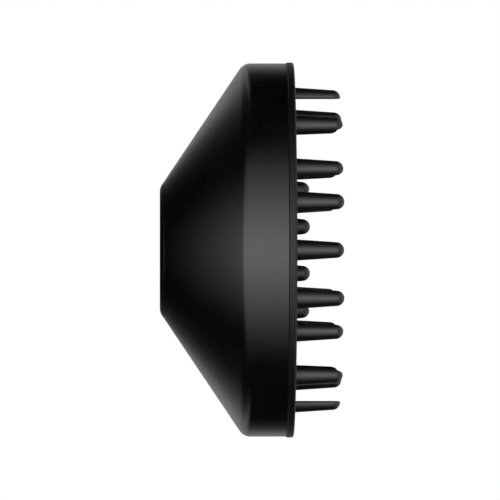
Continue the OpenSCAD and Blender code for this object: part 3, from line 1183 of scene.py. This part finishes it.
@dataclass
class Prongs:
    """Three rings of D-shaped prongs with round tips, their flats towards the axis."""

    finishes: Finishes
    rings: GrownTree
    dish: float
    count: int = 10
    base_r: float = 3.4
    tip_r: float = 2.5
    flat: float = 0.35
    edge: float = 0.45
    flare: float = 0.5
    sink: float = 0.3
    back_steps: int = 10
    edge_steps: int = 5
    flat_steps: int = 3
    shaft_loops: tuple[float, ...] = (0.04, 0.35, 0.7, 1.0)
    dome_steps: int = 16

    def half_outline(self, r: float) -> list[tuple[float, float]]:
        """Draws half of the D: its back, its rounded edge and half of its flat.

        Args:
            r: Radius of the D's back.

        Returns:
            Points from the middle of the back to the middle of the flat.
        """
        x = self.edge - self.flat
        y = math.sqrt((r - self.edge) ** 2 - x**2)
        meet = math.atan2(y, x)
        back = [meet * k / self.back_steps for k in range(self.back_steps + 1)]
        bend = [meet + (math.pi - meet) * k / self.edge_steps for k in range(1, self.edge_steps + 1)]
        points = [(r * math.cos(a), r * math.sin(a)) for a in back]
        points += [(x + self.edge * math.cos(a), y + self.edge * math.sin(a)) for a in bend]
        return points + [(-self.flat, y * (1 - k / self.flat_steps)) for k in range(1, self.flat_steps + 1)]

    def prong(self, foot: float, tip: float, away: float) -> bpy.types.Object:
        """Makes one prong on the X axis.

        Args:
            foot: Z of the plate under it.
            tip: Z of its tip.
            away: Its distance from the axis.

        Returns:
            The prong.
        """
        centre, shaft = tip - self.tip_r, foot + self.flare
        wide = self.base_r + self.flare
        bends = [QUARTER * k / self.edge_steps for k in range(1, self.edge_steps + 1)]
        levels = [(foot - self.sink, wide), (foot, wide)]
        levels += [(foot + self.flare * (1 - math.cos(a)), wide - self.flare * math.sin(a)) for a in bends]
        taper = self.tip_r - self.base_r
        levels += [(shaft + (centre - shaft) * k, self.base_r + taper * k) for k in self.shaft_loops]
        points, faces, loops = [], [], []
        for z, r in levels:
            half = self.half_outline(r)
            loop = half + [(x, -y) for x, y in reversed(half[1:-1])]
            loops.append(list(range(len(points), len(points) + len(loop))))
            points += [(away + x, y, z) for x, y in loop]
        worn = [0.0] * len(points)
        for low, high in zip(loops, loops[1:]):
            faces += strip(low, high, True)
        faces.append(tuple(reversed(loops[0])))
        # The tip is domed by turning the half outline over from one side to the other
        half = self.half_outline(self.tip_r)
        top, last = loops[-1], len(half) - 1
        rows = [top[: last + 1]]
        for k in range(1, self.dome_steps):
            angle = math.pi * k / self.dome_steps
            first = len(points)
            points += [(away + x, y * math.cos(angle), centre + y * math.sin(angle)) for x, y in half[1:-1]]
            worn += [min(1.0, y * math.sin(angle) / self.tip_r) ** 2 for _, y in half[1:-1]]
            rows.append([top[0], *range(first, len(points)), top[last]])
        rows.append([top[0], *reversed(top[last + 1 :]), top[last]])
        for here, after in zip(rows, rows[1:]):
            faces += [tuple(dict.fromkeys(face)) for face in strip(here, after, False)]
        return mesh_piece("prong", points, faces, worn)

    def build_ring(self, kind: str, depth: float) -> None:
        """Makes one ring of prongs.

        Args:
            kind: The start of the ring's node names.
            depth: How far below the plate's outer land the prongs' feet lie.
        """
        nodes = [f"{kind}_{i:02d}" for i in range(1, self.count + 1)]
        away = max(Span.of(node).reach for node in nodes) - self.base_r - self.flare
        middle = Span.of(nodes[0]).middle
        half_step = TURN / self.count / 2
        first = round(math.atan2(middle.y, middle.x) / half_step) * half_step
        foot = Span.of("face_plate").high - depth
        values = {"Count": self.count, "First Angle": first, "Seam": 0.0}
        values["Finish"] = self.finishes.made[Slot.PRONG]
        ring = self.rings.grow(f"{kind}s", self.prong(foot, Span.of(nodes[0]).high, away), values)
        self.finishes.fit(ring, Slot.PRONG, *nodes)

    def build(self) -> None:
        """Makes the three rings."""
        self.build_ring("outer_prong", 0.0)
        self.build_ring("inner_prong", 0.0)
        self.build_ring("short_prong", self.dish)


# ---------------------------------------------------------------- duct and inlet


@dataclass
class Duct:
    """The inner bowl that carries the air out to the rim, and the spreader hung in it."""

    finishes: Finishes
    body: Body
    outside: float = 6.0
    bowl_wall: float = 1.4
    band_in: float = 3.0
    throat: float = 10.5
    nose_r: float = 3.6
    flank: float = 12.0
    flank_steps: int = 16
    spreader_wall: float = 1.6
    well_r: float = 2.1
    hole_r: float = 0.8
    seat_drop: float = 4.0

    def build_bowl(self) -> None:
        """Makes the bowl: floor, cone, band and the flange that hangs on the shell's ledge."""
        at = Span.of("inner_bowl")
        band = at.reach - self.band_in
        inner = band - self.bowl_wall
        inset = self.outside + self.bowl_wall
        floor, flange = at.low + self.bowl_wall, at.high - self.bowl_wall
        corners = [
            Corner(self.throat, at.low, 0.2),
            Corner(self.body.cone_r(at.low, self.outside), at.low, 0.8),
            Corner(band, self.body.cone_z(band, self.outside), 3.0),
            Corner(band, flange, 0.3),
            Corner(at.reach, flange, 0.2),
            Corner(at.reach, at.high, 0.2),
            Corner(inner, at.high, 0.4, 0.5),
            Corner(inner, self.body.cone_z(inner, inset), 2.0),
            Corner(self.body.cone_r(floor, inset), floor, 0.8),
            Corner(self.throat, floor, 0.4, 0.5),
        ]
        self.finishes.fit(turned("inner_bowl_duct", corners, PLAIN_TURN), Slot.DUCT, "inner_bowl")

    def build_spreader(self) -> None:
        """Makes the trumpet that turns the jet outwards, with the well for its screw."""
        at = Span.of("flow_spreader")
        reach = self.nose_r + self.flank
        outer = self.flank + self.spreader_wall
        steps = self.flank_steps
        corners = [Corner(self.well_r, at.low, 0.3), Corner(self.nose_r, at.low, 0.5)]
        for k in range(1, steps):
            angle = QUARTER * k / steps
            r = reach - self.flank * math.cos(angle)
            corners.append(Corner(r, at.low + self.flank * math.sin(angle)))
        corners += [Corner(reach, at.low + self.flank, 0.5), Corner(reach, at.low + outer, 0.5)]
        meet = math.acos(self.flank / outer)
        for k in range(steps - 1, -1, -1):
            angle = meet + (QUARTER - meet) * k / steps
            corners.append(Corner(reach - outer * math.cos(angle), at.low + outer * math.sin(angle)))
        corners += [
            Corner(self.nose_r, at.high, 0.2),
            Corner(self.hole_r, at.high),
            Corner(self.hole_r, at.high - self.seat_drop),
            Corner(self.well_r, at.high - self.seat_drop),
        ]
        self.finishes.fit(turned("flow_spreader_trumpet", corners, PLAIN_TURN), Slot.DUCT, "flow_spreader")


@dataclass
class ScrewHead:
    """A pan-head screw with a six-lobed drive, its head and shank in one mesh."""

    head_r: float
    head_h: float
    shank_r: float = 0.9
    point_h: float = 0.4
    point_share: float = 0.7
    dish: float = 0.45
    side_share: float = 0.8
    crown_in: float = 0.6
    crown_steps: int = 5
    lobe_r: float = 0.95
    lobe_depth: float = 0.16
    lobe_chamfer: float = 0.1
    drive_depth: float = 0.7
    drive_point: float = 0.15
    segments: int = 36

    def mesh(self, name: str, seat: float, foot: float, up: float, at: Vector) -> bpy.types.Object:
        """Makes the screw.

        Args:
            name: The screw's name.
            seat: Z of the face under the head.
            foot: Z of the shank's end.
            up: 1 where the head points to +Z, and -1 where it points to -Z.
            at: Where the axis stands.

        Returns:
            The screw.
        """
        side = (self.head_h - self.dish) * self.side_share
        rings = [
            Ring(0.0, foot),
            Ring(self.shank_r * self.point_share, foot),
            Ring(self.shank_r, foot + up * self.point_h),
            Ring(self.shank_r, seat),
            Ring(self.head_r, seat),
            Ring(self.head_r, seat + up * side),
        ]
        for k in range(1, self.crown_steps):
            tilt = QUARTER * k / self.crown_steps
            inwards = (1 - math.cos(tilt)) * self.crown_in
            rings.append(Ring(self.head_r - inwards, seat + up * (side + self.dish * math.sin(tilt))))
        top = seat + up * (side + self.dish)
        # The drive: its mouth, the foot of its chamfer and its floor, a little narrower each time
        for share, depth in ((1.0, 0.0), (0.93, self.lobe_chamfer), (0.9, self.drive_depth)):
            rings.append(Ring(self.lobe_r * share, top - up * depth, 0.0, self.lobe_depth))
        rings.append(Ring(0.0, top - up * (self.drive_depth + self.drive_point)))
        return spun(name, rings, self.segments, at)


@dataclass
class Inlet:
    """The collar that sits on the dryer, its seals, magnets, pole ring, screws and tag."""

    finishes: Finishes
    rings: GrownTree
    body: Body
    duct: Duct
    socket: float = 15.0
    socket_depth: float = 7.0
    lead_in: float = 0.4
    end_r: float = 19.9
    end_round: float = 4.0
    tube_wall: float = 2.0
    groove_in: float = 16.39
    groove_out: float = 17.69
    groove_depth: float = 0.7
    seal_slack: float = 0.1
    gasket_slack: float = 0.05
    magnets: int = 8
    magnet_segments: int = 40
    pole_slack: float = 0.2
    screws: int = 4
    first_screw: float = 22.5
    collar_head_r: float = 1.9
    spreader_head_h: float = 1.3
    coil_share: float = 0.72
    coil_half: float = 0.15
    coil_foot: float = 0.3
    coil_h: float = 0.1
    tag_segments: int = 64

    def build_collar(self) -> None:
        """Makes the collar with its socket, flange and face groove."""
        at = Span.of("inlet_collar")
        tube, throat = self.socket + self.tube_wall, self.duct.throat
        flange = Span.of("outer_shell").low
        floor, groove = at.low + self.socket_depth, at.low + self.groove_depth
        corners = [
            Corner(self.socket + self.lead_in, at.low, 0.15, 0.8),
            Corner(self.socket, at.low + self.lead_in, 0.15, 0.8),
            Corner(self.socket, floor, 0.3),
            Corner(throat, floor, 0.5, 0.6),
            Corner(throat, at.high, 0.2),
            Corner(tube, at.high, 0.2),
            Corner(tube, flange, 0.2),
            Corner(at.reach, flange, 0.12, 1.0),
            Corner(self.end_r, at.low, self.end_round, 0.6),
            Corner(self.groove_out, at.low, 0.1),
            Corner(self.groove_out, groove, 0.15),
            Corner(self.groove_in, groove, 0.15),
            Corner(self.groove_in, at.low, 0.1),
        ]
        self.finishes.fit(turned("inlet_collar_socket", corners), Slot.COLLAR, "inlet_collar")

    def build_seals(self) -> None:
        """Makes the face seal in the collar's groove and the gasket between collar and shell."""
        at = Span.of("inlet_seal")
        width = self.groove_out - self.groove_in - self.seal_slack
        bead = block(at.reach - width, at.reach, at.low, at.high, 0.28, 0.1)
        self.finishes.fit(turned("inlet_seal_bead", bead), Slot.SILICONE, "inlet_seal")
        at = Span.of("inlet_gasket")
        inner = self.socket + self.tube_wall + self.gasket_slack
        outer = self.body.cone_r(at.low, self.body.wall + self.seal_slack)
        wedge = [
            Corner(inner, at.low, 0.1),
            Corner(outer, at.low, 0.2),
            Corner(at.reach, at.high, 0.3),
            Corner(inner, at.high, 0.2),
        ]
        self.finishes.fit(turned("inlet_gasket_wedge", wedge, PLAIN_TURN), Slot.SILICONE, "inlet_gasket")

    def build_metal(self) -> None:
        """Makes the ring of magnets, the pole ring that backs them, and the screws."""
        made = self.finishes.made
        nodes = [f"magnet_{i}" for i in range(1, self.magnets + 1)]
        at = Span.of(nodes[0])
        disc = block(0.0, at.half, at.low, at.high, 0.2, 0.2)
        away = Vector((at.middle.xy.length, 0.0, 0.0))
        magnet = turned("magnet", disc, self.magnet_segments, away)
        values = {"Count": self.magnets, "First Angle": 0.0, "Seam": 0.0, "Finish": made[Slot.MAGNET]}
        self.finishes.fit(self.rings.grow("holding_magnets", magnet, values), Slot.MAGNET, *nodes)

        at = Span.of("pole_ring")
        pole = block(self.duct.throat + self.pole_slack, at.reach, at.low, at.high, 0.12, 0.12)
        self.finishes.fit(turned("pole_ring_washer", pole, PLAIN_TURN), Slot.POLE, "pole_ring")

        at = Span.of("collar_screws")
        seat = Span.of("inner_bowl").low + self.duct.bowl_wall
        screw = ScrewHead(self.collar_head_r, at.high - seat).mesh("screw", seat, at.low, 1.0, away)
        values = {"Count": self.screws, "First Angle": math.radians(self.first_screw), "Seam": 0.0}
        values["Finish"] = made[Slot.SCREW]
        self.finishes.fit(self.rings.grow("collar_screw_set", screw, values), Slot.SCREW, "collar_screws")

        at = Span.of("spreader_screw")
        seat = at.low + self.spreader_head_h
        head = ScrewHead(at.reach, self.spreader_head_h)
        screw = head.mesh("spreader_fixing_screw", seat, at.high, -1.0, Vector((0.0, 0.0, 0.0)))
        self.finishes.fit(screw, Slot.SCREW, "spreader_screw")

    def build_tag(self) -> None:
        """Makes the coin-shaped tag, with the ridge of its aerial coil under the resin."""
        at = Span.of("id_tag")
        coil, face = at.half * self.coil_share, at.high - self.coil_h
        disc = [
            Corner(0.0, at.low),
            Corner(at.half, at.low, 0.15),
            Corner(at.half, face, 0.25),
            Corner(coil + self.coil_foot, face, 0.1),
            Corner(coil + self.coil_half, at.high, 0.08),
            Corner(coil - self.coil_half, at.high, 0.08),
            Corner(coil - self.coil_foot, face, 0.1),
            Corner(0.0, face),
        ]
        spot = Vector((at.middle.x, at.middle.y, 0.0))
        self.finishes.fit(turned("id_tag_coin", disc, self.tag_segments, spot), Slot.TAG, "id_tag")


# ---------------------------------------------------------------- studio


@dataclass(frozen=True)
class SoftEdge:
    """A soft edge of a light in the surround: the axis it lies across, where along that axis it goes from
    dark to full, from -1 to 1, and how bright full is."""

    axis: str
    dark: float
    full: float
    bright: float = 1.0


@dataclass
class Studio:
    """A plain pale floor, a white surround, soft light, and a level camera, square to the diffuser's side.

    The soft box shines from the front to below, and fades from side_full to side_dark to the left and right.
    dome is the even light that matt surfaces get. The card under the floor has a round spot at its front
    edge, and goes from card_front to card_back in strength between card_start and card_end, in millimetres
    along Y.
    """

    focal: float = 450.0
    sensor: float = 36.0
    view_width: float = 160.0
    floor_r: float = 4000.0
    floor_sides: int = 96
    paper_grain: float = 2.5
    softbox: float = 2.8
    side_dark: float = 0.92
    side_full: float = 0.05
    squeeze: float = 0.8
    front: SoftEdge = SoftEdge("Y", 0.27, 0.02)
    front_top: SoftEdge = SoftEdge("Z", 0.7, 0.3)
    backdrop: SoftEdge = SoftEdge("Y", 0.72, 1.02, 0.6)
    overhead: SoftEdge = SoftEdge("Z", 0.25, 0.95, 0.7)
    dome: float = 1.3
    card_r: float = 300.0
    card_drop: float = 6.0
    card_sides: int = 48
    card_front: float = 0.015
    card_back: float = 0.5
    card_start: float = -14.0
    card_end: float = 62.0
    spot: float = 1.3
    spot_r: float = 45.0

    def build_camera(self) -> None:
        """Places the camera in front, turned so that the inlet is to the left and the prongs to the right."""
        low, high = CAD_BOX
        aim = Vector((0.0, 0.0, (low.z + high.z) / 2))
        distance = self.focal / self.sensor * self.view_width * MM
        stand = Vector((0.0, -distance, low.z))
        back = (stand - aim).normalized()
        up = Vector((-1.0, 0.0, 0.0))
        data = bpy.data.cameras.new("studio_camera")
        data.lens = self.focal
        data.sensor_width = self.sensor
        data.clip_start = distance * 0.1
        data.clip_end = distance * 10
        camera = bpy.data.objects.new("studio_camera", data)
        bpy.context.scene.collection.objects.link(camera)
        turn = Matrix((up.cross(back), up, back)).transposed().to_4x4()
        camera.matrix_world = Matrix.Translation(stand) @ turn
        bpy.context.scene.camera = camera

    def build_floor(self) -> None:
        """Lays the floor at the inlet's end face."""
        level = CAD_BOX[0].z / MM
        angles = [TURN * k / self.floor_sides for k in range(self.floor_sides)]
        points = [(self.floor_r * math.cos(a), self.floor_r * math.sin(a), level) for a in angles]
        floor = mesh_piece("floor", points, [tuple(range(len(points)))])
        # Matt paper: even, with a faint drift in its white
        paper = bpy.data.materials.new("matt_white_paper")
        add = partial(add_node, emptied(paper))
        place = add("TexCoord").outputs["Object"]
        fibre = add("TexNoise", {"Vector": place, "Scale": 1 / (self.paper_grain * MM), "Detail": 4.0})
        whites = {0: fibre, 6: linear("#e6e6e5"), 7: linear("#ebebea")}
        shade = add("Mix", whites, data_type="RGBA")
        shader = add("BsdfDiffuse", {"Color": shade})
        add("OutputMaterial", {"Surface": shader})
        floor.data.materials.append(paper)
        floor.visible_glossy = False

    def build_card(self) -> None:
        """Lays the dark card that the cone's gloss sees, with a bright spot in front and paler behind."""
        level = CAD_BOX[0].z / MM - self.card_drop
        edge = -Span.of("outer_shell").reach
        angles = [TURN / 2 * k / self.card_sides for k in range(self.card_sides + 1)]
        points = [(self.card_r * math.cos(a), edge + self.card_r * math.sin(a), level) for a in angles]
        card = mesh_piece("light_card", points, [tuple(range(len(points)))])
        # A glowing card, which only gloss sees
        glow = bpy.data.materials.new("glowing_card")
        add = partial(add_node, emptied(glow))
        glow.cycles.emission_sampling = "NONE"
        place = add("TexCoord").outputs["Object"]
        shift = (0.0, -edge / self.spot_r, -level / self.spot_r)
        size = 1 / (self.spot_r * MM)
        spot = add("Mapping", {"Vector": place, "Location": shift, "Scale": (size, size, size)})
        fade = add("TexGradient", {"Vector": spot}, gradient_type="QUADRATIC_SPHERE")
        depth = add("SeparateXYZ", {0: place}).outputs["Y"]
        along = {"Value": depth, "From Min": self.card_start * MM, "From Max": self.card_end * MM}
        along |= {"To Min": self.card_front, "To Max": self.card_back}
        rear = add("MapRange", along, interpolation_type="SMOOTHSTEP")
        lit = {0: fade.outputs["Fac"], 1: self.spot, 2: rear}
        bright = add("Math", lit, operation="MULTIPLY_ADD")
        shader = add("Emission", {"Strength": bright})
        add("OutputMaterial", {"Surface": shader})
        card.data.materials.append(glow)
        for kind in ("camera", "diffuse", "transmission", "volume_scatter", "shadow"):
            setattr(card, f"visible_{kind}", False)

    def build_light(self) -> None:
        """Lights the set: a soft box from the front to below, a backdrop, a light above, and an even dome."""
        world = bpy.data.worlds.new("white_studio")
        bpy.context.scene.world = world
        add = partial(add_node, emptied(world))
        world.cycles.sampling_method = "NONE"
        way = add("TexCoord").outputs["Generated"]
        part = add("SeparateXYZ", {0: way}).outputs
        # The soft box narrows as it goes under, or the shoulder's sides would catch a bright spot
        squared = add("Math", {0: part["Z"], 1: part["Z"]}, operation="MULTIPLY")
        upright = add("Math", {0: squared, 1: -self.squeeze, 2: 1.0}, operation="MULTIPLY_ADD")
        narrow = add("Math", {0: upright, 1: 0.5}, operation="POWER")
        sideways = add("Math", {0: part["X"]}, operation="ABSOLUTE")
        across = add("Math", {0: sideways, 1: narrow}, operation="DIVIDE")
        fall = {"From Min": self.side_dark, "From Max": self.side_full, "To Max": self.softbox}
        width = add("MapRange", {"Value": across, **fall})
        ramps = []
        for edge in (self.front, self.front_top, self.backdrop, self.overhead):
            ends = {"From Min": edge.dark, "From Max": edge.full, "To Max": edge.bright}
            soft = {"Value": part[edge.axis], **ends}
            ramps.append(add("MapRange", soft, interpolation_type="SMOOTHSTEP"))
        reach = add("Math", {0: ramps[0], 1: ramps[1]}, operation="MULTIPLY")
        box = add("Math", {0: width, 1: reach}, operation="MULTIPLY")
        level = add("Math", {0: box, 1: ramps[2]}, operation="ADD")
        gloss = add("Math", {0: level, 1: ramps[3]}, operation="ADD")
        ray = add("LightPath").outputs
        lit = add("Mix", {0: ray["Is Diffuse Ray"], 2: gloss, 3: self.dome})
        seen = add("Mix", {0: ray["Is Camera Ray"], 2: lit, 3: 1.0})
        surround = add("Background", {"Color": linear("#ffffff"), "Strength": seen})
        add("OutputWorld", {"Surface": surround})

    def build(self) -> None:
        """Sets up the studio."""
        self.build_camera()
        self.build_floor()
        self.build_card()
        self.build_light()
        bpy.context.scene.view_settings.view_transform = "Standard"
        bpy.context.scene.view_settings.look = "None"


def main() -> None:
    """Builds the diffuser's looks from the outside in, then the studio."""
    logging.basicConfig(level=logging.INFO, format="%(message)s")
    finishes = Finishes()
    finishes.build()
    rings = ring_tree()
    body = Body(finishes)
    body.build_shell()
    body.build_bezel()
    face = Face(finishes, rings, woven_tree())
    face.build_plate()
    face.build_screen()
    face.build_rings()
    Prongs(finishes, rings, face.dish).build()
    duct = Duct(finishes, body)
    duct.build_bowl()
    duct.build_spreader()
    inlet = Inlet(finishes, rings, body, duct)
    inlet.build_collar()
    inlet.build_seals()
    inlet.build_metal()
    inlet.build_tag()
    Studio().build()


if __name__ == "__main__":
    main()
